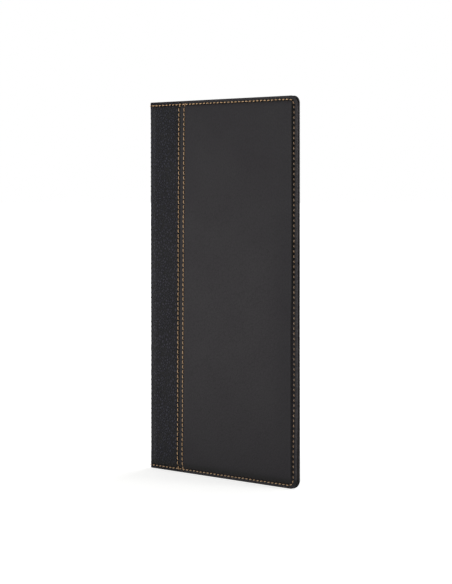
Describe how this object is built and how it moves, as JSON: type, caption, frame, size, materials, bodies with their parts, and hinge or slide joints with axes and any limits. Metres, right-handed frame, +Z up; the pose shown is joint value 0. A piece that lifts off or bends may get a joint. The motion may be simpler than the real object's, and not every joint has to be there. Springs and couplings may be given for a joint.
{
  "type": "guest check presenter",
  "caption": "Slim black sewn folder with a grained spine, smooth padded covers, orange topstitching and inner pockets; opens flat like a book to hand over a bill.",
  "frame": {"origin": "under the middle of the closed presenter, on the surface it stands on", "axes": "+X from the spine to the fore edge, +Y from the front cover to the back cover, +Z up from the foot edge to the head edge"},
  "size_m": [0.125, 0.005, 0.23],
  "materials": {
    "smooth_leather": "smooth semi-matt coated leather, near black",
    "grained_leather": "fine embossed pebble grain, near black, slightly cool",
    "lining_leather": "thin fine-grained coated lining, matt black",
    "pocket_leather": "thin smooth coated pocket sheet, black",
    "greyboard": "unlined recycled greyboard",
    "fibre_stay": "bonded fibre strip"
  },
  "bodies": {
    "back_cover": {"back_panel": "smooth_leather", "back_spine_flap": "grained_leather", "back_board": "greyboard", "back_lining": "lining_leather", "back_bill_pocket": "pocket_leather", "back_bill_pocket_hem": "pocket_leather", "back_card_pocket": "pocket_leather", "back_card_pocket_hem": "pocket_leather"},
    "spine": {"spine_wrap": "grained_leather", "spine_stiffener": "fibre_stay", "spine_lining": "lining_leather"},
    "front_cover": {"front_panel": "smooth_leather", "front_spine_flap": "grained_leather", "front_board": "greyboard", "front_lining": "lining_leather", "front_bill_pocket": "pocket_leather", "front_bill_pocket_hem": "pocket_leather"}
  },
  "joints": [
    {"name": "back_fold", "type": "hinge", "parent": "back_cover", "child": "spine", "pos_m": [-0.06185, 0.00095, 0.115], "axis": [0, 0, -1], "range_deg": [0, 90]},
    {"name": "front_fold", "type": "hinge", "parent": "spine", "child": "front_cover", "pos_m": [-0.06185, -0.00095, 0.115], "axis": [0, 0, -1], "range_deg": [0, 90]}
  ],
  "couplings": [
    {"joint": "front_fold", "follows": "back_fold", "ratio": 1}
  ]
}
